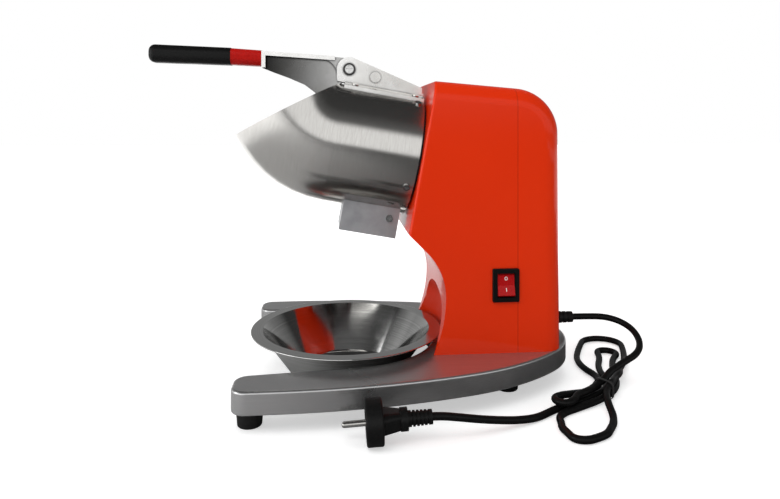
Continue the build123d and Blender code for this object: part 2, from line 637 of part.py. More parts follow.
def make_lever():
    x, _, z = PIVOT
    stem_frame = pusher_place()
    hub = Pos(x, 0, z) * across(disc(HUB_RADIUS, -HUB_HALF, HUB_HALF))
    flange = side_profile([(ARM_X, 331.0), (-27, 326.1), (-27, 322.0), (ARM_X, 326.6)])
    root = box((ARM_X, -FLANGE_HALF, 314.3), (ARM_X + 4, FLANGE_HALF, 329))
    arm = thick(arm_web(), WEB_HALF) + thick(arm_shoulder(), HUB_HALF) + hub
    arm = arm + thick(flange, FLANGE_HALF) + root
    arm = arm + Pos(*TANG_MIDDLE) * Rot(0, GRIP_FALL, 0) * Box(TANG_LENGTH, 12, 8)
    arm = arm + stem_frame * box((STEM_BACK - 7, -8, 26), (STEM_BACK, 8, PUSHER_REACH + 14))
    arm = arm - Pos(*PIVOT) * across(disc(6.5, -20, 20))
    for reach in PUSHER_BOLTS:
        bolt_line = stem_frame * Pos(STEM_BACK, 0, reach) * Rot(0, 90, 0)
        arm = arm - bolt_line * disc(2.5 + FIT, -30, 12)
        arm = arm - bolt_line * disc(5.2, -30, -7)
    save(arm, "lever_arm")

    save(Pos(*PIVOT) * across(ring(6.45, PIVOT_RADIUS + FIT, -8.7, 8.7)), "pivot_bush")

    plate = fillet(disc(PUSHER_RADIUS, 0, PUSHER_PLATE).edges().filter_by(GeomType.CIRCLE), 1.5)
    for radius in (16, 28, 40):
        plate = plate - ring(radius + 1.5, radius - 1.5, PUSHER_PLATE - 2, PUSHER_PLATE + 2)
    for reach in PUSHER_BOLTS:
        plate = plate - Pos(PUSHER_REACH - reach, 0, 0) * disc(2.5 + FIT, -10, 5)
    plate_place = stem_frame * Pos(STEM_BACK + 0.05, 0, PUSHER_REACH) * Rot(0, 90, 0)
    save(plate_place * plate, "pusher_plate")
    bolt = Rot(180, 0, 0) * panhead_screw(2.5, 11, 4.6, 2.8)
    save(stem_frame * group([Pos(STEM_BACK - 7.02, 0, reach) * Rot(0, 90, 0) * bolt
                             for reach in PUSHER_BOLTS]), "pusher_bolts")


def grip_section(x, z, height, width):
    plane = Plane(origin=(x, 0, z), x_dir=(0, 1, 0), z_dir=(1, 0, 0))
    return plane * RectangleRounded(width, height, min(height, width) * 0.42)


def make_grip():
    bore = Pos(*TANG_MIDDLE) * Rot(0, GRIP_FALL, 0) * Box(TANG_LENGTH + 0.2, 12.2, 8.2)
    tip = grip_section(GRIP_TIP_X, 328.2, 18.2, GRIP_WIDTH)
    seam = grip_section(COLLAR_X, 325.5, 17.6, GRIP_WIDTH)
    grip = loft([tip, seam])
    grip = fillet(grip.faces().sort_by(Axis.X)[0].edges(), 6.0)
    save(grip - bore, "lever_grip")
    start = grip_section(COLLAR_X + 0.05, 325.5, 16.8, GRIP_WIDTH - 0.6)
    neck = grip_section(ARM_X - 0.1, 323.8, 16.2, GRIP_WIDTH - 1)
    save(loft([start, neck]) - bore, "grip_collar")


# ---------------------------------------------------------------- switch
def make_switch():
    place = Pos(SWITCH_X, -HOUSING_HALF_WIDTH, SWITCH_Z) * Rot(90, 0, 0)
    # local X runs along the object, local Y up, local Z out of the wall
    frame = extrude(RectangleRounded(SWITCH_WIDTH, SWITCH_HEIGHT, 1.5), amount=2.6)
    frame = fillet(frame.faces().sort_by(Axis.Z)[-1].edges(), 1.0)
    case = Pos(0, 0, -24) * Box(22, 28, 24, align=BOTTOM)
    opening = Pos(0, 0, -9) * Box(17, 23, 20, align=BOTTOM)
    clips = [Pos(0, side * 14.0, -8.0) * Box(8, 0.8, 4, align=(
        Align.CENTER, Align.MIN if side > 0 else Align.MAX, Align.MIN)) for side in (1, -1)]
    terminals = []
    slots = []
    for x in (-5.5, 5.5):
        for y in (-8, 0):
            terminals.append(Pos(x, y, -33) * Box(0.8, 4.8, 13, align=BOTTOM))
            slots.append(Pos(x, y, -34) * Box(0.9, 4.9, 14.1, align=BOTTOM))
    housing = frame + case - opening + clips - slots
    bearing = Pos(0, 0, -2.5) * Rot(0, 90, 0) * disc(1.5 + FIT, -10, 10)
    save(place * (housing - bearing), "switch_bezel")

    # the rocker face is two flats that meet in a shallow valley over the pivot; the ends
    # are arcs about it, so that the rocker turns freely in its opening
    profile = make_face(Polyline(
        (0, -12, -4.5), (0, -12, 4.2), (0, -10, 4.8), (0, 0, 1.9), (0, 9.5, 1.2),
        (0, 12, -0.4), (0, 12, -4.5), (0, 4, -6.5), (0, -4, -6.5), close=True))
    rocker = extrude(profile, amount=8.2, dir=(1, 0, 0), both=True)
    rocker = rocker & Pos(0, 0, -2.5) * Rot(0, 90, 0) * disc(ROCKER_REACH, -9, 9)
    rocker = rocker + Pos(0, 0, -2.5) * Rot(0, 90, 0) * disc(1.5, -9.4, 9.4)
    save(place * rocker, "switch_rocker")
    save(place * group(terminals), "switch_terminals")


# ---------------------------------------------------------------- bowl
def make_bowl():
    wall_top = BOWL_RIM_RADIUS - BOWL_LIP
    lip_z = BOWL_HEIGHT - BOWL_SHEET
    outer = Polyline((0, 0, 0), (BOWL_FOOT_RADIUS, 0, 0), (wall_top, 0, lip_z),
                     (BOWL_RIM_RADIUS, 0, lip_z), (BOWL_RIM_RADIUS, 0, BOWL_HEIGHT),
                     (0, 0, BOWL_HEIGHT), close=True)
    body = make_face(outer)
    body = fillet(body.vertices().sort_by_distance((BOWL_FOOT_RADIUS, 0, 0))[0], 9)
    inner_foot = BOWL_FOOT_RADIUS - 0.75
    inner_top = wall_top - 1.4
    hollow = make_face(Polyline(
        (0, 0, BOWL_SHEET), (inner_foot, 0, BOWL_SHEET),
        (inner_top, 0, BOWL_HEIGHT), (inner_top, 0, BOWL_HEIGHT + 5), (0, 0, BOWL_HEIGHT + 5),
        close=True))
    hollow = fillet(hollow.vertices().sort_by_distance((inner_foot, 0, BOWL_SHEET))[0], 8)
    shell = revolve(body, axis=Axis.Z) - revolve(hollow, axis=Axis.Z)
    lip = shell.edges().filter_by(GeomType.CIRCLE).group_by(SortBy.RADIUS)[-1]
    shell = fillet(lip, 0.5)
    save(Pos(BOWL_X, 0, 0) * shell, "bowl")


# ---------------------------------------------------------------- mains cord
def corner_radii(points):
    """The largest arc that each corner of a route has room for."""
    route = [Vector(*p) for p in points]
    radii = []
    for before, here, after in zip(route, route[1:], route[2:]):
        turn = radians((here - before).get_angle(after - here))
        shorter = min((here - before).length, (after - here).length)
        radii.append(0.45 * shorter / tan(turn / 2))
    return radii


def tube(points, name):
    """A tube of the cord's section along straight runs joined by tangent arcs."""
    radii = corner_radii(points)
    path = FilletPolyline(*points, radius=radii)
    section = Plane(origin=path @ 0, z_dir=path % 0) * Circle(CORD_RADIUS)
    body = sweep(section, path=path)
    ideal = path.length * pi * CORD_RADIUS ** 2
    print(name, "length", round(path.length, 1), "least radius", round(min(radii), 1),
          "volume ratio", round(body.volume / ideal, 4))
    return body


LEAD_ROUTE = [
    (RELIEF_END_X, 0, 51), (242, 0, 51), (260.5, -1, 50.5), (274.5, -7, 47.5),
    (282.8, -18, 42.8), (284, -31.5, 37.2), (279.4, -44.5, 32.3), (269.4, -55.6, 28.7),
    (255.6, -63, 25.9), (240.5, -70.8, 21.7)]
TAIL_ROUTE = [
    (162.3, -115.5, 3.3), (146.7, -124.4, 3.3), (127, -135, 4.6), (107.5, -144, 9),
    (88.5, -150.5, 16), (68.9, -155, 22.34), (PLUG_ENTRY[0], PLUG_ENTRY[1], PLUG_ENTRY[2])]

# The hank: strands cross the waist, where the tie holds them, in lanes side by side and in
# two layers. To the left lies a short bundle, to the right a large and a small loop, and a
# third loop lies in front.
WAIST = Vector(223.5, -81.5)
FLOOR_Z = 3.3
UPPER_Z = 10.5
# lanes and heights at the waist: lead, large loop out and back, small loop out and back
WAIST_LANES = [(1.6, 12.7), (7.4, 4.4), (-7.4, 12.1), (-7.4, 4.4), (0, 4.4)]
TIE_CLEARANCE = 0.7
LANE = 7.2
WAIST_HEADING = 39.7
LEFT_HEADING = 209.6
RIGHT_HEADING = 50.0
LARGE_LOOP = 65.4
SMALL_LOOP = 64.0
FRONT_LOOP = 242.0


def heading(angle):
    """A level unit direction, in degrees from +X."""
    return Vector(cos(radians(angle)), sin(radians(angle)))


def strand(direction, along, lane, z, turned=0.0, climb=0.0):
    """A place on the cord with its direction: along and beside a line out of the waist."""
    place = WAIST + heading(direction) * along + heading(direction + 90) * lane
    level = heading(direction + turned) * cos(radians(climb))
    return Vector(place.X, place.Y, z), Vector(level.X, level.Y, sin(radians(climb)))


def hank_strands():
    """The cord's places in order, from the lead to the tail."""
    left, right, waist = LEFT_HEADING, RIGHT_HEADING, WAIST_HEADING
    lead, large_out, large_back, small_out, small_back = WAIST_LANES
    lead_end = (Vector(*LEAD_ROUTE[-1]), (Vector(*LEAD_ROUTE[-1]) - Vector(*LEAD_ROUTE[-2])))
    tail_start = (Vector(*TAIL_ROUTE[0]), (Vector(*TAIL_ROUTE[1]) - Vector(*TAIL_ROUTE[0])))
    return [
        (lead_end[0], lead_end[1].normalized()),
        strand(waist, 0, *lead, 169.8, -14),
        # the end of the left bundle is a half turn
        strand(left, 30, 2, UPPER_Z + 1, -2.6),
        strand(left, 54, LANE, UPPER_Z),
        strand(left, 54 + LANE, 0, UPPER_Z, -90),
        strand(left, 54, -LANE, UPPER_Z, 180),
        strand(left, 30, -LANE - 0.2, 7.5, 180, -9),
        strand(waist, 0, *large_out, 2.3),
        # the large loop
        strand(LARGE_LOOP, 96, 28.5, FLOOR_Z),
        strand(LARGE_LOOP, 161, 2, FLOOR_Z, -90),
        strand(LARGE_LOOP, 110, -20, FLOOR_Z, 181),
        strand(right, 62, -0.4, 8.8, 186, 3),
        strand(right, 32, -5.4, UPPER_Z + 0.5, 176, 1),
        strand(waist, 0, *large_back, 188.3, -2),
        # the front loop
        strand(FRONT_LOOP, 19.6, 6, 10.2, 7),
        strand(FRONT_LOOP, 65.4, 14.4, FLOOR_Z, -8),
        strand(FRONT_LOOP, 86.3, 9.1, FLOOR_Z, -34),
        strand(FRONT_LOOP, 100.6, -7.1, FLOOR_Z, -80),
        strand(FRONT_LOOP, 88.9, -21.3, FLOOR_Z, -142),
        strand(FRONT_LOOP, 71.8, -27.5, FLOOR_Z, -161),
        strand(left, 54, LANE + 0.6, FLOOR_Z, 177.4),
        strand(waist, 0, *small_out, 2.3),
        # the small loop
        strand(SMALL_LOOP, 84, -6.4, FLOOR_Z, 2),
        strand(SMALL_LOOP, 122, 0.6, FLOOR_Z, 90),
        strand(SMALL_LOOP, 84, 7.2, FLOOR_Z, 178),
        strand(waist, 0, *small_back, 182.3),
        (tail_start[0], tail_start[1].normalized()),
    ]


def biarc_meeting(start, start_way, end, end_way):
    """Where two arcs meet that leave one strand and reach the next along their directions."""
    span = end - start
    ways = start_way + end_way
    a = 2 * (1 - start_way.dot(end_way))
    b = 2 * span.dot(ways)
    c = -span.dot(span)
    reach = -c / b if a < 1e-9 else (sqrt(b * b - 4 * a * c) - b) / (2 * a)
    return (start + end + (start_way - end_way) * reach) * 0.5


def hank_path():
    """Two tangent arcs from each strand to the next."""
    edges = []
    strands = hank_strands()
    for (start, start_way), (end, end_way) in zip(strands, strands[1:]):
        meeting = biarc_meeting(start, start_way, end, end_way)
        first = TangentArc(start, meeting, tangent=start_way)
        edges.append(first)
        edges.append(TangentArc(meeting, end, tangent=first % 1))
    return edges


def least_gap(edges):
    """The least gap of the cord to itself, from points along it over two diameters apart."""
    points = []
    travelled = 0.0
    for edge in edges:
        steps = max(4, round(edge.length / 3))
        points += [(travelled + edge.length * k / steps, edge @ (k / steps))
                   for k in range(steps)]
        travelled += edge.length
    apart = 4 * CORD_DIAMETER
    return min((q - p).length for i, (s, p) in enumerate(points)
               for t, q in points[i + 1:] if t - s > apart) - CORD_DIAMETER


def make_hank():
    edges = hank_path()
    radii = [edge.radius for edge in edges if edge.geom_type == GeomType.CIRCLE]
    path = Wire(edges)
    section = Plane(origin=path @ 0, z_dir=path % 0) * Circle(CORD_RADIUS)
    body = sweep(section, path=path)
    ideal = path.length * pi * CORD_RADIUS ** 2
    print("cord_hank length", round(path.length, 1), "least radius", round(min(radii), 1),
          "volume ratio", round(body.volume / ideal, 4), "least gap", round(least_gap(edges), 2))
    save(body, "cord_hank")


def plug_location():
    """The plug's own axes: Z runs from the cord's entry towards the pins."""
    tilt = radians(PLUG_TILT)
    return Plane(origin=PLUG_ENTRY, x_dir=(0, 1, 0), z_dir=(-cos(tilt), 0, -sin(tilt))).location


def make_cord():
    save(tube(LEAD_ROUTE, "cord_lead"), "cord_lead")
    make_hank()
    save(tube(TAIL_ROUTE, "cord_tail"), "cord_tail")

    reach = RELIEF_END_X - HOUSING_REAR - SEAT_GAP
    relief = Cone(6.6, 5.6, reach - 2.6, align=BOTTOM)
    grooves = [ring(10, 4.9, 6.5 + 5.2 * k, 8.6 + 5.2 * k) for k in range(4)]
    relief = Pos(0, 0, 2.6) * (relief - grooves) + disc(8.4, 0, 2.6) + disc(5.5, -5.5, 0)
    relief = relief + disc(7.4, -9, -5.5) - disc(CORD_RADIUS, -12, -3)
    save(Pos(HOUSING_REAR + SEAT_GAP, 0, CORD_EXIT_Z) * Rot(0, 90, 0) * relief, "strain_relief")

    sleeve = Cone(5.8, 6.4, 20, align=BOTTOM)
    sleeve = sleeve - [ring(10, 5.1, 3 + 3.2 * k, 4.4 + 3.2 * k) for k in range(5)]
    collar = disc(9.2, 20, 26)
    waist = loft([Pos(0, 0, 26) * RectangleRounded(16, 14, 4),
                  Pos(0, 0, 40) * RectangleRounded(25, 17, 6)])
    face = disc(18.5, 40, 54)
    face = fillet(face.edges().filter_by(GeomType.CIRCLE), 1.6)
    body = sleeve + collar + waist + face
    roll = Rot(0, 0, PLUG_ROLL)
    pins = [roll * Pos(side * 9.5, 0, 0) for side in (1, -1)]
    body = body - [pin * disc(2.42, 46, 56) for pin in pins]
    rims = [roll * Rot(0, 0, side * 90) * box((16.6, -2.6, 44), (20, 2.6, 60))
            for side in (1, -1)]
    body = body - rims
    save(plug_location() * body, "plug_body")
    pin_solid = fillet(disc(2.4, 46.05, 73).edges().group_by(Axis.Z)[-1], 2.0)
    save(plug_location() * group([pin * pin_solid for pin in pins]), "plug_pins")
    clip = box((16.65, -2.4, 44.1), (17.6, 2.4, 53.8))
    save(plug_location() * group([roll * Rot(0, 0, side * 90) * clip for side in (1, -1)]),
         "plug_earth_clips")

    # the tie is a band drawn tight round the strands at the waist
    held = [Pos(lane, z) * Circle(CORD_RADIUS + TIE_CLEARANCE).edge()
            for lane, z in WAIST_LANES]
    inside = make_hull(held)
    band = offset(inside, amount=0.6) - inside
    along = heading(WAIST_HEADING)
    middle = Vector(WAIST.X, WAIST.Y, 0) - Vector(along.X, along.Y, 0) * 1.5
    tie_place = Plane(origin=middle, x_dir=(-along.Y, along.X, 0), z_dir=(along.X, along.Y, 0))
    save(tie_place.location * extrude(band, amount=3), "cord_tie")


make_base()
make_housing()
make_hopper()
make_chute()
make_drive()
make_motor()
make_bracket()
make_lever()
make_grip()
make_switch()
make_bowl()
make_cord()
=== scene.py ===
import json
from math import acos, ceil, cos, pi, radians, sin, sqrt, tan

import bmesh
import bpy
from mathutils import Matrix, Vector

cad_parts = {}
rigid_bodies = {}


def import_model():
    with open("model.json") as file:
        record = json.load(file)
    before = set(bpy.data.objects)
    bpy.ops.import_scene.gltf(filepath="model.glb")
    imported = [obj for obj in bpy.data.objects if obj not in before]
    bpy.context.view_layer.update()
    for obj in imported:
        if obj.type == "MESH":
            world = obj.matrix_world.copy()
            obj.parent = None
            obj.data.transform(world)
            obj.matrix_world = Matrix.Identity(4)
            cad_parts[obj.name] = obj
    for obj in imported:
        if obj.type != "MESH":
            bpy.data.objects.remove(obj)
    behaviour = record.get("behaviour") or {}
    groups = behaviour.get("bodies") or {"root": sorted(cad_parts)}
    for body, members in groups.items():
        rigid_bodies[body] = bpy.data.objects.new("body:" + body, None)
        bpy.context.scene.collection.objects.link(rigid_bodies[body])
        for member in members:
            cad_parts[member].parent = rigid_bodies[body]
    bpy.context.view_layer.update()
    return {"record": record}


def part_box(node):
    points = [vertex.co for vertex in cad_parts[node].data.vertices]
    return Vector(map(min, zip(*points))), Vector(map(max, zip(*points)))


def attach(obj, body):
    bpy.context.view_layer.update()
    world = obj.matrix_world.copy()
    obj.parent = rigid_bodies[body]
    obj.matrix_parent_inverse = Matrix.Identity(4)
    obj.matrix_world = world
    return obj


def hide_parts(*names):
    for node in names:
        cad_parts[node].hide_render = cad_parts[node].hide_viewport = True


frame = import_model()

# Electric ice shaver with a press lever, dressed for its photograph.
# Metres. +X is the rear, -X the front, -Y the switch side, +Z up.

MM = 0.001


def new_object(name, data):
    made = bpy.data.objects.new(name, data)
    bpy.context.scene.collection.objects.link(made)
    return made


# ---------------------------------------------------------------- camera
# The photograph's frame is 780 by 499 pixels. Its camera stands level, a little in front of
# the object's middle, and the frame hangs below the optical axis.
FRAME_WIDTH = 780
FOCAL_PIXELS = 652
AXIS_ABOVE_MIDDLE = 129.5
SENSOR_WIDTH = 36
NEAREST_SEEN = 0.02
CAMERA_PLACE = (-0.029, -0.677, 0.261)
CAMERA_TURN = 5.0


def make_camera():
    data = bpy.data.cameras.new("camera")
    data.sensor_width = SENSOR_WIDTH
    data.lens = SENSOR_WIDTH * FOCAL_PIXELS / FRAME_WIDTH
    data.shift_y = -AXIS_ABOVE_MIDDLE / FRAME_WIDTH
    data.clip_start = NEAREST_SEEN
    camera = new_object("camera", data)
    camera.location = CAMERA_PLACE
    camera.rotation_euler = (radians(90), 0, radians(-CAMERA_TURN))
    bpy.context.scene.camera = camera


# ---------------------------------------------------------------- material helpers
# most of a noise's values lie between these
NOISE_LOW = 0.3
NOISE_HIGH = 0.7


def grey(level):
    return (level, level, level)


class Nodes:
    """A node tree with short ways to add to it. A value given to a method is a number, a
    vector or another node's output."""

    def __init__(self, tree):
        self.nodes, self.links = tree.nodes, tree.links

    def node(self, kind, **settings):
        made = self.nodes.new(kind)
        for key, value in settings.items():
            setattr(made, key, value)
        return made

    def feed(self, socket, value):
        if isinstance(value, bpy.types.NodeSocket):
            self.links.new(value, socket)
        else:
            socket.default_value = value

    def math(self, operation, *values):
        made = self.node("ShaderNodeMath", operation=operation)
        for socket, value in zip(made.inputs, values):
            self.feed(socket, value)
        return made.outputs["Value"]

    def cross(self, first, second):
        made = self.node("ShaderNodeVectorMath", operation="CROSS_PRODUCT")
        self.feed(made.inputs[0], first)
        self.feed(made.inputs[1], second)
        return made.outputs["Vector"]

    def length(self, vector):
        made = self.node("ShaderNodeVectorMath", operation="LENGTH")
        self.feed(made.inputs[0], vector)
        return made.outputs["Value"]

    def scaled(self, vector, factor):
        made = self.node("ShaderNodeVectorMath", operation="SCALE")
        self.feed(made.inputs[0], vector)
        self.feed(made.inputs["Scale"], factor)
        return made.outputs["Vector"]

    def split(self, vector):
        """The X, Y and Z of a vector."""
        made = self.node("ShaderNodeSeparateXYZ")
        self.feed(made.inputs["Vector"], vector)
        return made.outputs

    def map_range(self, value, low, high, to_low, to_high):
        mapped = self.node("ShaderNodeMapRange")
        for socket, number in zip(("From Min", "From Max", "To Min", "To Max"),
                                  (low, high, to_low, to_high)):
            mapped.inputs[socket].default_value = number
        self.feed(mapped.inputs["Value"], value)
        return mapped.outputs["Result"]

    def ramp(self, value, stops):
        """A color from places between 0 and 1, in order, each with its color."""
        made = self.node("ShaderNodeValToRGB")
        elements = made.color_ramp.elements
        for element, (place, color) in zip(elements, (stops[0], stops[-1])):
            element.position = place
            element.color = (*color, 1)
        for place, color in stops[1:-1]:
            elements.new(place).color = (*color, 1)
        self.feed(made.inputs["Fac"], value)
        return made.outputs["Color"]


class Finish(Nodes):
    """A principled material with procedural detail."""

    def __init__(self, name, **constants):
        self.material = bpy.data.materials.new(name)
        self.material.use_nodes = True
        super().__init__(self.material.node_tree)
        self.shader = self.nodes["Principled BSDF"]
        for socket, value in constants.items():
            self.shader.inputs[socket.replace("_", " ")].default_value = value
        self.bumped_normal = None

    def place(self, stretch=(1, 1, 1), turn=(0, 0, 0), origin=(0, 0, 0)):
        """Object coordinates, moved, turned and stretched."""
        mapping = self.node("ShaderNodeMapping", vector_type="TEXTURE")
        mapping.inputs["Location"].default_value = origin
        mapping.inputs["Rotation"].default_value = turn
        self.feed(mapping.inputs["Vector"], self.node("ShaderNodeTexCoord").outputs["Object"])
        stretched = self.node("ShaderNodeVectorMath", operation="MULTIPLY")
        self.feed(stretched.inputs[0], mapping.outputs["Vector"])
        self.feed(stretched.inputs[1], stretch)
        return stretched.outputs["Vector"]

    def noise(self, scale, detail=3.0, rough=0.5, vector=None, distortion=0.0):
        texture = self.node("ShaderNodeTexNoise")
        texture.inputs["Scale"].default_value = scale
        texture.inputs["Detail"].default_value = detail
        texture.inputs["Roughness"].default_value = rough
        texture.inputs["Distortion"].default_value = distortion
        self.feed(texture.inputs["Vector"], vector or self.place())
        return texture.outputs["Fac"]

    def rings(self, distance, scale, detail, rough):
        """Noise along a distance alone."""
        texture = self.node("ShaderNodeTexNoise", noise_dimensions="1D")
        texture.inputs["Scale"].default_value = scale
        texture.inputs["Detail"].default_value = detail
        texture.inputs["Roughness"].default_value = rough
        self.feed(texture.inputs["W"], distance)
        return texture.outputs["Fac"]

    def vary_color(self, value, first, second, low=NOISE_LOW, high=NOISE_HIGH):
        color = self.ramp(value, [(low, first), (high, second)])
        self.feed(self.shader.inputs["Base Color"], color)
        return color

    def shade_color(self, color, factor):
        self.feed(self.shader.inputs["Base Color"], self.scaled(color, factor))

    def vary_roughness(self, value, low, high):
        varied = self.map_range(value, NOISE_LOW, NOISE_HIGH, low, high)
        self.feed(self.shader.inputs["Roughness"], varied)

    def bump(self, value, depth_mm, strength):
        """Adds relief to what earlier calls gave."""
        bump = self.node("ShaderNodeBump")
        bump.inputs["Strength"].default_value = strength
        bump.inputs["Distance"].default_value = depth_mm * MM
        self.feed(bump.inputs["Height"], value)
        if self.bumped_normal is not None:
            self.feed(bump.inputs["Normal"], self.bumped_normal)
        self.bumped_normal = bump.outputs["Normal"]
        self.feed(self.shader.inputs["Normal"], self.bumped_normal)

    def stretch_across(self, around):
        """Highlights stretched square to the direction in which the surface is brushed."""
        normal = self.node("ShaderNodeNewGeometry").outputs["Normal"]
        self.feed(self.shader.inputs["Tangent"], self.cross(around, normal))

    def brushed_around(self, axis):
        """A surface brushed around an axis."""
        normal = self.node("ShaderNodeNewGeometry").outputs["Normal"]
        self.stretch_across(self.cross(normal, axis))

    def spun_around(self, middle):
        """A sheet spun about the vertical line through a place."""
        self.stretch_across(self.cross((0, 0, 1), self.place(origin=middle)))


# ---------------------------------------------------------------- the finishes
# the drive axis: it falls towards the rear, and the tube lies along it
TILT = 10.2
DRIVE_START = Vector((0.0554, 0.0, 0.223))
DRIVE_AXIS = Vector((cos(radians(TILT)), 0, -sin(radians(TILT))))
# the seam on the sides of the housing
SEAM_X = 0.1477
SEAM_HALF = 0.0007
SEAM_SHADE = 0.7
# painted shade on the arm: darker at the grip and lighter at the pivot; a painted highlight on
# its flange and the cheeks, further from its middle plane than its web
PAINTED_SHADE_GRIP_X = -0.1
PAINTED_SHADE_PIVOT_X = -0.015
PAINTED_SHADE_AT_GRIP = 0.13
PAINTED_SHADE_AT_PIVOT = 0.8
WEB_EDGE = 8.9 * MM
FLANGE_EDGE = 9.6 * MM
# painted shade in the corners of castings: how far a corner reaches, its shade, and the
# shares of open sky at which it is full and ends
CORNER_REACH = 2.5 * MM
PAINTED_CORNER_SHADE = 0.15
CORNER_CLOSED = 0.4
CORNER_OPEN = 0.95
# the pivot screw's head: painted shade on its rim, none up to one radius, full from the other
# on
PIVOT = (-0.0125, 0, 0.3125)
HEAD_BRIGHT = 3.9 * MM
HEAD_DARK = 4.8 * MM
PAINTED_RIM_SHADE = 0.06


def orange_paint():
    paint = Finish("orange_paint", Coat_Weight=0.25, Coat_Roughness=0.05, IOR=1.45,
                   Specular_IOR_Level=0.12)
    color = paint.vary_color(paint.noise(5, detail=2),
                             (0.77, 0.029, 0.001), (0.82, 0.035, 0.002))
    from_seam = paint.math("ABSOLUTE", paint.split(paint.place(origin=(SEAM_X, 0, 0)))["X"])
    seam = paint.map_range(from_seam, 0.1 * MM, SEAM_HALF, SEAM_SHADE, 1.0)
    paint.shade_color(color, seam)
    paint.bump(paint.noise(240, detail=1), 0.006, 0.4)
    paint.bump(seam, 0.1, 0.6)
    paint.vary_roughness(paint.noise(1400, detail=2), 0.24, 0.36)
    return paint


def silver_paint():
    paint = Finish("silver_paint", Metallic=0.88, Coat_Weight=0.2, Coat_Roughness=0.12)
    grain = paint.noise(40, detail=5, rough=0.6, vector=paint.place(stretch=(0.5, 14, 30)))
    paint.vary_color(grain, (0.49, 0.49, 0.492), grey(0.54))
    paint.vary_roughness(paint.noise(7, detail=1), 0.25, 0.29)
    paint.bump(grain, 0.003, 0.25)
    return paint


def brushed_stainless():
    steel = Finish("brushed_stainless", Metallic=1.0, Anisotropic=0.7)
    along_drive = {"turn": (0, radians(TILT), 0), "origin": DRIVE_START}
    lines = steel.noise(60, detail=6, rough=0.75,
                        vector=steel.place(stretch=(40, 1.2, 1.2), **along_drive))
    fine = steel.noise(60, detail=2, vector=steel.place(stretch=(160, 3, 3), **along_drive))
    steel.vary_color(lines, (0.5, 0.485, 0.46), (0.68, 0.67, 0.65), 0.25, 0.75)
    steel.vary_roughness(steel.noise(9, detail=4), 0.15, 0.25)
    steel.bump(lines, 0.012, 0.3)
    steel.bump(fine, 0.005, 0.25)
    steel.brushed_around(DRIVE_AXIS)
    return steel


def polished_stainless():
    steel = Finish("polished_stainless", Metallic=1.0, Anisotropic=0.5)
    low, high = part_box("bowl")
    middle = ((low[0] + high[0]) / 2, 0, 0)
    from_middle = steel.length(steel.place(stretch=(1, 1, 0.4), origin=middle))
    spun = steel.rings(from_middle, 900, detail=5, rough=0.7)
    steel.vary_color(spun, (0.52, 0.52, 0.51), (0.68, 0.68, 0.67))
    steel.bump(spun, 0.006, 0.3)
    steel.vary_roughness(steel.noise(25, detail=4, distortion=0.6), 0.06, 0.16)
    steel.spun_around(middle)
    return steel


def cast_aluminium():
    metal = Finish("cast_aluminium", Metallic=0.9)
    pores = metal.noise(300, detail=4, rough=0.55)
    dents = metal.noise(55, detail=3)
    stain = metal.noise(24, detail=5, rough=0.6, distortion=0.4)
    color = metal.vary_color(stain, (0.8, 0.79, 0.76), (0.97, 0.965, 0.95), 0.35, 0.6)
    parts = metal.split(metal.place())
    # painted shade along the arm, and a painted highlight on its flange and cheeks
    along = metal.map_range(parts["X"], PAINTED_SHADE_GRIP_X, PAINTED_SHADE_PIVOT_X, PAINTED_SHADE_AT_GRIP, PAINTED_SHADE_AT_PIVOT)
    painted_web_shade = metal.math("MULTIPLY", along, along)
    from_plane = metal.math("ABSOLUTE", parts["Y"])
    painted_flange_highlight = metal.map_range(from_plane, WEB_EDGE, FLANGE_EDGE, 0.0, 1.0)
    # painted shade in corners and creases, by the share of open sky near each point
    corner = metal.node("ShaderNodeAmbientOcclusion", samples=8)
    corner.inputs["Distance"].default_value = CORNER_REACH
    painted_corner_factor = metal.map_range(corner.outputs["AO"], CORNER_CLOSED, CORNER_OPEN,
                                 PAINTED_CORNER_SHADE, 1.0)
    painted_arm_light = metal.math("MAXIMUM", painted_web_shade, painted_flange_highlight)
    metal.shade_color(color, metal.math("MULTIPLY", painted_arm_light, painted_corner_factor))
    metal.vary_roughness(dents, 0.16, 0.3)
    metal.bump(dents, 0.2, 0.35)
    metal.bump(pores, 0.02, 0.4)
    return metal


def grey_sheet():
    sheet = Finish("grey_sheet", Metallic=0.3)
    rolled = sheet.noise(90, detail=4, vector=sheet.place(stretch=(1, 6, 1)))
    sheet.vary_color(rolled, (0.3, 0.305, 0.32), (0.38, 0.385, 0.4))
    sheet.vary_roughness(sheet.noise(30), 0.3, 0.45)
    sheet.bump(rolled, 0.01, 0.5)
    return sheet


def pivot_screw_painted_shade():
    """Bright in the middle of its head, with painted shade on the round of its rim."""
    metal = Finish("pivot_screw_painted_shade", Metallic=1.0)
    spots = metal.noise(700, detail=4)
    color = metal.vary_color(spots, (0.66, 0.66, 0.65), (0.85, 0.85, 0.84))
    from_axis = metal.length(metal.place(stretch=(1, 0, 1), origin=PIVOT))
    # painted shade on the rim of the head
    metal.shade_color(color, metal.map_range(from_axis, HEAD_BRIGHT, HEAD_DARK, 1.0, PAINTED_RIM_SHADE))
    metal.vary_roughness(metal.noise(120), 0.15, 0.3)
    metal.bump(spots, 0.01, 0.4)
    return metal


# color and roughness of the plain metals
METALS = {
    "zinc_steel": (grey(0.5), 0.2),
    "sheet_steel": ((0.5, 0.51, 0.52), 0.35),
    "ground_steel": ((0.58, 0.58, 0.59), 0.2),
    "core_steel": ((0.2, 0.2, 0.22), 0.45),
    "enamelled_copper": ((0.55, 0.2, 0.07), 0.3),
    "bronze": ((0.6, 0.42, 0.18), 0.3),
    "brass": ((0.7, 0.5, 0.2), 0.25),
    "nickel_plate": ((0.6, 0.59, 0.57), 0.2),
}
METAL_GRAIN = 500

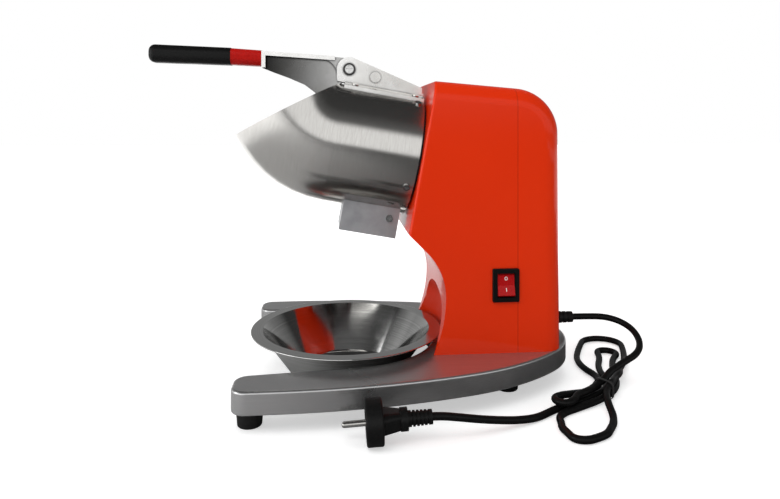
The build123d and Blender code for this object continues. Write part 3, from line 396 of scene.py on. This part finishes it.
# color, roughness, gloss and depth of the grain in millimetres, of rubbers and plastics
PLASTICS = {
    "black_rubber": (grey(0.005), 0.6, 0.25, 0.02),
    "black_gasket": (grey(0.015), 0.75, 0.5, 0.02),
    "black_grip": (grey(0.004), 0.36, 0.12, 0.05),
    "red_sleeve": ((0.38, 0.004, 0.002), 0.3, 0.12, 0.02),
    "black_plastic": (grey(0.004), 0.3, 0.12, 0.02),
    "red_rocker": ((0.36, 0.002, 0.003), 0.2, 0.2, 0.004),
    "black_cord": (grey(0.004), 0.32, 0.12, 0.01),
    "black_tie": (grey(0.02), 0.4, 0.5, 0.02),
    "black_plug": (grey(0.005), 0.36, 0.12, 0.03),
    "mark_ink": ((0.75, 0.72, 0.7), 0.4, 0.5, 0.02),
}
PLASTIC_GRAIN = 900


def metal_finish(name, color, roughness):
    metal = Finish(name, Metallic=1.0)
    spots = metal.noise(METAL_GRAIN, detail=4)
    metal.vary_color(spots, tuple(c * 0.8 for c in color), color)
    metal.vary_roughness(metal.noise(METAL_GRAIN / 6), roughness * 0.8, roughness * 1.4)
    metal.bump(spots, 0.01, 0.4)
    return metal


def plastic_finish(name, color, roughness, gloss, depth):
    plastic = Finish(name, Specular_IOR_Level=gloss)
    spark = plastic.noise(PLASTIC_GRAIN, detail=2)
    lighter = tuple(c * 1.35 + 0.003 for c in color)
    plastic.vary_color(spark, color, lighter)
    wear = plastic.noise(PLASTIC_GRAIN / 20, detail=4)
    plastic.vary_roughness(wear, roughness * 0.8, roughness * 1.3)
    plastic.bump(spark, depth, 0.5)
    return plastic


def make_finishes():
    """One material for each slot of the record, and one for the marks on the switch."""
    finishes = {
        "orange_paint": orange_paint(),
        "silver_paint": silver_paint(),
        "brushed_stainless": brushed_stainless(),
        "polished_stainless": polished_stainless(),
        "cast_aluminium": cast_aluminium(),
        "grey_sheet": grey_sheet(),
    }
    for name, look in METALS.items():
        finishes[name] = metal_finish(name, *look)
    for name, look in PLASTICS.items():
        finishes[name] = plastic_finish(name, *look)
    return {name: finish.material for name, finish in finishes.items()}


def dress_nodes(finishes):
    for part in frame["record"]["subparts"]:
        for slot in bpy.data.objects[part["node"]].material_slots:
            slot.material = finishes[part["material_slot"]]
    for slot in bpy.data.objects["pivot_bolt"].material_slots:
        slot.material = pivot_screw_painted_shade().material


# ---------------------------------------------------------------- mains cord
# The routes and the hank are in millimetres.
CORD_DIAMETER = 0.0065
LEAD_ROUTE = [
    (225, 0, 51), (242, 0, 51), (260.5, -1, 50.5), (274.5, -7, 47.5),
    (282.8, -18, 42.8), (284, -31.5, 37.2), (279.4, -44.5, 32.3), (269.4, -55.6, 28.7),
    (255.6, -63, 25.9), (240.5, -70.8, 21.7)]
TAIL_ROUTE = [
    (162.3, -115.5, 3.3), (146.7, -126.5, 3.3), (127, -135, 6), (107.5, -143, 10.6),
    (90, -149.6, 15.2), (74, -153.2, 18.9), (58, -155, 21.6), (50.9, -155, 21.4)]

# The hank's strands, as in the part: they cross the waist in lanes and in two layers.
WAIST = Vector((223.5, -81.5, 0))
FLOOR_Z = 3.3
UPPER_Z = 10.5
# lanes and heights at the waist: lead, large loop out and back, small loop out and back
WAIST_LANES = [(1.6, 12.7), (7.4, 4.4), (-7.4, 12.1), (-7.4, 4.4), (0, 4.4)]
LANE = 7.2
WAIST_HEADING = 39.7
LEFT_HEADING = 209.6
RIGHT_HEADING = 50.0
LARGE_LOOP = 65.4
SMALL_LOOP = 64.0
FRONT_LOOP = 242.0
# an arc's widest and longest step, in degrees and millimetres, and the turn under which it
# is drawn straight
WIDEST_STEP = 28
LONGEST_STEP = 9
STRAIGHT_TURN = 0.5


def heading(angle, climb=0.0):
    level = cos(radians(climb))
    return Vector((cos(radians(angle)) * level, sin(radians(angle)) * level,
                   sin(radians(climb))))


def strand(direction, along, lane, z, turned=0.0, climb=0.0):
    """A place on the cord with its direction: along and beside a line out of the waist."""
    place = WAIST + heading(direction) * along + heading(direction + 90) * lane
    return Vector((place.x, place.y, z)), heading(direction + turned, climb)


def hank_strands():
    """The cord's places in order, from the lead to the tail."""
    left, right, waist = LEFT_HEADING, RIGHT_HEADING, WAIST_HEADING
    lead, large_out, large_back, small_out, small_back = WAIST_LANES
    lead_end = Vector(LEAD_ROUTE[-1])
    tail_start = Vector(TAIL_ROUTE[0])
    return [
        (lead_end, (lead_end - Vector(LEAD_ROUTE[-2])).normalized()),
        strand(waist, 0, *lead, 169.8, -14),
        strand(left, 30, 2, UPPER_Z + 1, -2.6),
        strand(left, 54, LANE, UPPER_Z),
        strand(left, 54 + LANE, 0, UPPER_Z, -90),
        strand(left, 54, -LANE, UPPER_Z, 180),
        strand(left, 30, -LANE - 0.2, 7.5, 180, -9),
        strand(waist, 0, *large_out, 2.3),
        strand(LARGE_LOOP, 96, 28.5, FLOOR_Z),
        strand(LARGE_LOOP, 161, 2, FLOOR_Z, -90),
        strand(LARGE_LOOP, 110, -20, FLOOR_Z, 181),
        strand(right, 62, -0.4, 8.8, 186, 3),
        strand(right, 32, -5.4, UPPER_Z + 0.5, 176, 1),
        strand(waist, 0, *large_back, 188.3, -2),
        strand(FRONT_LOOP, 19.6, 6, 10.2, 7),
        strand(FRONT_LOOP, 65.4, 14.4, FLOOR_Z, -8),
        strand(FRONT_LOOP, 86.3, 9.1, FLOOR_Z, -34),
        strand(FRONT_LOOP, 100.6, -7.1, FLOOR_Z, -80),
        strand(FRONT_LOOP, 88.9, -21.3, FLOOR_Z, -142),
        strand(FRONT_LOOP, 71.8, -27.5, FLOOR_Z, -161),
        strand(left, 54, LANE + 0.6, FLOOR_Z, 177.4),
        strand(waist, 0, *small_out, 2.3),
        strand(SMALL_LOOP, 84, -6.4, FLOOR_Z, 2),
        strand(SMALL_LOOP, 122, 0.6, FLOOR_Z, 90),
        strand(SMALL_LOOP, 84, 7.2, FLOOR_Z, 178),
        strand(waist, 0, *small_back, 182.3),
        (tail_start, (Vector(TAIL_ROUTE[1]) - tail_start).normalized()),
    ]


def control_reach(start, start_way, end, end_way):
    """How far the two control points between strands stand from them, so that they are as
    far apart as the two reaches together."""
    span = end - start
    ways = start_way + end_way
    a = 2 * (1 - start_way.dot(end_way))
    b = 2 * span.dot(ways)
    c = -span.dot(span)
    return -c / b if a < 1e-9 else (sqrt(b * b - 4 * a * c) - b) / (2 * a)


def arc_points(start, way, end):
    """Control points of an arc that leaves a place along a direction and ends at another: one
    where the tangents of each short step meet."""
    chord = end - start
    half = acos(max(-1.0, min(1.0, chord.normalized().dot(way))))
    if half < radians(STRAIGHT_TURN):
        count = ceil(chord.length / LONGEST_STEP)
        return [start + chord * (k + 0.5) / count for k in range(count)]
    side = (chord - way * chord.dot(way)).normalized()
    radius = chord.length / (2 * sin(half))
    length = 2 * half * radius
    count = max(ceil(2 * half / radians(WIDEST_STEP)), ceil(length / LONGEST_STEP))
    step = 2 * half / count
    points = []
    for k in range(count):
        turned = k * step
        place = start + way * (radius * sin(turned)) + side * (radius * (1 - cos(turned)))
        tangent = way * cos(turned) + side * sin(turned)
        points.append(place + tangent * (radius * tan(step / 2)))
    return points


def hank_points():
    """The control points of the two arcs from each strand to the next."""
    points = []
    strands = hank_strands()
    for (start, start_way), (end, end_way) in zip(strands, strands[1:]):
        reach = control_reach(start, start_way, end, end_way)
        first, second = start + start_way * reach, end - end_way * reach
        meeting = (first + second) / 2
        points += arc_points(start, start_way, meeting)
        points += arc_points(meeting, (second - first).normalized(), end)
    return points


def make_cord(finishes):
    route = [Vector(p) for p in LEAD_ROUTE] + hank_points() + [Vector(p) for p in TAIL_ROUTE]
    curve = bpy.data.curves.new("mains_cord", "CURVE")
    curve.dimensions = "3D"
    curve.bevel_depth = CORD_DIAMETER / 2
    curve.bevel_resolution = 5
    curve.resolution_u = 6
    spline = curve.splines.new("NURBS")
    spline.points.add(len(route) - 1)
    for point, place in zip(spline.points, route):
        point.co = (*(place * MM), 1)
    spline.order_u = 3
    spline.use_endpoint_u = True
    curve.materials.append(finishes["black_cord"])
    cord = new_object("mains_cord", curve)
    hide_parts("cord_lead", "cord_hank", "cord_tail")
    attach(cord, "stand")


# ---------------------------------------------------------------- marks on the switch
# In millimetres. The switch's middle on the side of the housing.
SWITCH_PLACE = Vector((135.7, -65, 103))
MARK_HALF_THICKNESS = 0.15
# the rocker's face above and below its valley: height of the mark, how far out the face
# stands there, and how many degrees it leans back
OFF_MARK = (6.6, 1.41, -4.2)
ON_MARK = (-3.8, 3.0, -16.2)
# half the width and height of the bar, of the ring and of the ring's hole
BAR_SIZE = (0.35, 1.7)
RING_SIZE = (1.5, 1.8)
HOLE_SIZE = (0.9, 1.2)
RING_SIDES = 24


def make_mark(name, outline, hole, place, finishes):
    """A thin raised sign on the rocker from its outline and, if it has one, its hole."""
    up, out, lean = place
    turn = Matrix.Rotation(radians(90 + lean), 4, "X")
    vertices, faces = [], []
    count = len(outline)
    loops = [outline] if hole is None else [outline, hole]
    for loop in loops:
        for level in (-MARK_HALF_THICKNESS, MARK_HALF_THICKNESS):
            for x, y in loop:
                vertex = turn @ Vector((x, y, level))
                vertices.append((SWITCH_PLACE + Vector((0, -out, up)) + vertex) * MM)
    for first, flip in ((0, False), (2 * count, True))[:len(loops)]:
        for k in range(count):
            after = (k + 1) % count
            face = (first + k, first + after, first + count + after, first + count + k)
            faces.append(face[::-1] if flip else face)
    if hole is None:
        faces += [tuple(range(count))[::-1], tuple(range(count, 2 * count))]
    else:
        for k in range(count):
            after = (k + 1) % count
            faces.append((k, 2 * count + k, 2 * count + after, after))
            faces.append((count + k, count + after, 3 * count + after, 3 * count + k))
    mesh = bpy.data.meshes.new(name)
    mesh.from_pydata(vertices, [], faces)
    mesh.materials.append(finishes["mark_ink"])
    mark = new_object(name, mesh)
    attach(mark, "rocker")


def oval(half_width, half_height):
    turns = [2 * pi * k / RING_SIDES for k in range(RING_SIDES)]
    return [(half_width * cos(t), half_height * sin(t)) for t in turns]


def make_marks(finishes):
    x, y = BAR_SIZE
    make_mark("on_mark", [(-x, -y), (x, -y), (x, y), (-x, y)], None, ON_MARK, finishes)
    make_mark("off_mark", oval(*RING_SIZE), oval(*HOLE_SIZE), OFF_MARK, finishes)


# ---------------------------------------------------------------- floor
FLOOR_HALF = 6
# the floor's own glow: its level near the object, and where it starts to rise and is full
GLOW_NEAR = 0.5
GLOW_START = 0.35
GLOW_FULL = 1.2


def seen_directly(tree):
    """1 for rays from the camera, off glossy surfaces and through clear ones, else 0."""
    path = tree.node("ShaderNodeLightPath").outputs
    seen = tree.math("MAXIMUM", path["Is Camera Ray"], path["Is Glossy Ray"])
    return tree.math("MAXIMUM", seen, path["Is Transmission Ray"])


def make_floor():
    """White paper: its own glow makes up what the lamps leave, so that it stays white away
    from the object and keeps the object's shadow."""
    mesh = bpy.data.meshes.new("floor")
    shape = bmesh.new()
    bmesh.ops.create_grid(shape, x_segments=1, y_segments=1, size=FLOOR_HALF)
    shape.to_mesh(mesh)
    shape.free()
    paper = Finish("floor_paper", Roughness=0.9, Specular_IOR_Level=0.1)
    paper.vary_color(paper.noise(30), grey(0.79), grey(0.81))
    away = paper.length(paper.place())
    glow = paper.map_range(away, GLOW_START, GLOW_FULL, GLOW_NEAR, 1.0)
    emission = paper.node("ShaderNodeEmission")
    paper.feed(emission.inputs["Strength"], paper.math("MULTIPLY", glow, seen_directly(paper)))
    both = paper.node("ShaderNodeAddShader")
    paper.feed(both.inputs[0], paper.shader.outputs["BSDF"])
    paper.feed(both.inputs[1], emission.outputs["Emission"])
    paper.feed(paper.nodes["Material Output"].inputs["Surface"], both.outputs["Shader"])
    mesh.materials.append(paper.material)
    new_object("floor", mesh)


# ---------------------------------------------------------------- cards
# Two cards lie side by side on the floor. Both are light up to one X and dark from the other
# on. Each has its front near corner, its rear far corner and its dark grey.
CARDS = {
    "dark_table": ((-0.5, -6), (4, -0.16), 0.06),
    "grey_table": ((-0.5, -0.16), (1.5, 0.3), 0.12),
}
CARD_HEIGHT = 0.0005
CARD_LIGHT_X = -0.16
CARD_DARK_X = 0.1
CARD_LIGHT = 0.5


def make_card(name, low, high, dark):
    """A flat card that only glossy surfaces see: it gives the metal its dark streaks."""
    mesh = bpy.data.meshes.new(name)
    corners = [(low[0], low[1], CARD_HEIGHT), (high[0], low[1], CARD_HEIGHT),
               (high[0], high[1], CARD_HEIGHT), (low[0], high[1], CARD_HEIGHT)]
    mesh.from_pydata(corners, [], [(0, 1, 2, 3)])
    felt = Finish(name + "_felt", Roughness=0.9, Specular_IOR_Level=0.0)
    along = felt.map_range(felt.split(felt.place())["X"], CARD_LIGHT_X, CARD_DARK_X, 0, 1)
    felt.vary_color(along, grey(CARD_LIGHT), grey(dark), 0.0, 1.0)
    mesh.materials.append(felt.material)
    card = new_object(name, mesh)
    card.visible_camera = False
    card.visible_diffuse = False
    card.visible_shadow = False
    card.visible_transmission = False


# ---------------------------------------------------------------- lamps
# each lamp's place, its width and height, its watts, and whether metal and gloss show it
LAMPS = {
    "key_box": ((-0.5, -1.0, 1.5), (1.3, 1.0), 13, False),
    "left_box": ((-1.5, -0.35, 0.6), (0.7, 1.0), 5, True),
    "back_box": ((0.5, 1.1, 1.3), (1.2, 0.8), 6, False),
}
LAMP_TARGET = Vector((0, 0, 0.15))


def softbox(name, place, size, power, mirrored):
    """An area lamp; metal and gloss show it only if it is mirrored."""
    data = bpy.data.lights.new(name, "AREA")
    data.shape = "RECTANGLE"
    data.size, data.size_y = size
    data.energy = power
    light = new_object(name, data)
    light.location = place
    light.rotation_euler = (LAMP_TARGET - Vector(place)).to_track_quat("-Z", "Y").to_euler()
    light.visible_glossy = mirrored


# ---------------------------------------------------------------- room
# The room that glossy surfaces see, by the angle about the X axis: 0 is level on the near
# side, 90 straight up, 180 level on the far side.
ROOM = [(-180, 0.4), (-90, 0.3), (-20, 0.1), (-1, 0.08), (3, 1.1), (34, 1.1), (44, 0.14),
        (70, 0.05), (120, 0.04), (140, 0.15), (160, 0.22), (180, 0.35)]
# The room is brighter towards the front end, low down and on the near side. Each pair holds
# the part of a direction at which this glow starts and is full. FAR_SHARE of it is left on
# the far side.
FRONT_GLOW = 0.9
FRONT_X = (-0.05, -0.7)
NEAR_Y = (0.6, 0.1)
LOW_Z = (0.6, 0.3)
FAR_SHARE = 0.15
# the even light that matt surfaces get
FILL_LEVEL = 0.5


def background(tree, color, strength):
    made = tree.node("ShaderNodeBackground")
    tree.feed(made.inputs["Color"], color)
    tree.feed(made.inputs["Strength"], strength)
    return made.outputs["Background"]


def mixed(tree, share, first, second):
    made = tree.node("ShaderNodeMixShader")
    tree.feed(made.inputs["Fac"], share)
    tree.feed(made.inputs[1], first)
    tree.feed(made.inputs[2], second)
    return made.outputs["Shader"]


def room_color(tree):
    """The room's grey in the direction looked in, with the glow at the front end."""
    direction = tree.split(tree.node("ShaderNodeTexCoord").outputs["Generated"])
    near = tree.math("MULTIPLY", direction["Y"], -1.0)
    angle = tree.math("ARCTAN2", direction["Z"], near)
    turn = tree.math("MULTIPLY_ADD", angle, 1 / (2 * pi), 0.5)
    walls = tree.ramp(turn, [((degrees + 180) / 360, grey(level)) for degrees, level in ROOM])
    front = tree.map_range(direction["X"], *FRONT_X, 0.0, FRONT_GLOW)
    nearer = tree.map_range(direction["Y"], *NEAR_Y, FAR_SHARE, 1.0)
    lower = tree.map_range(direction["Z"], *LOW_Z, 0.0, 1.0)
    glow = tree.math("MULTIPLY", tree.math("MULTIPLY", front, nearer), lower)
    lift = tree.node("ShaderNodeMixRGB", blend_type="ADD")
    tree.feed(lift.inputs["Fac"], 1.0)
    tree.feed(lift.inputs[1], walls)
    tree.feed(lift.inputs[2], glow)
    return lift.outputs["Color"]


def make_world():
    """White to the camera and through clear surfaces, an even grey to matt surfaces, and the
    room to glossy ones."""
    world = bpy.data.worlds.new("studio")
    bpy.context.scene.world = world
    world.use_nodes = True
    tree = Nodes(world.node_tree)
    tree.nodes.remove(tree.nodes["Background"])
    white = (1, 1, 1, 1)
    path = tree.node("ShaderNodeLightPath").outputs
    lit = mixed(tree, path["Is Glossy Ray"], background(tree, white, FILL_LEVEL),
                background(tree, room_color(tree), 1.0))
    clear = tree.math("MAXIMUM", path["Is Camera Ray"], path["Is Transmission Ray"])
    tree.feed(tree.nodes["World Output"].inputs["Surface"],
              mixed(tree, clear, lit, background(tree, white, 1.0)))


# ---------------------------------------------------------------- build
bpy.context.scene.view_settings.view_transform = "Standard"
make_camera()
finishes = make_finishes()
dress_nodes(finishes)
make_cord(finishes)
make_marks(finishes)
make_floor()
for name, card in CARDS.items():
    make_card(name, *card)
for name, lamp in LAMPS.items():
    softbox(name, *lamp)
make_world()
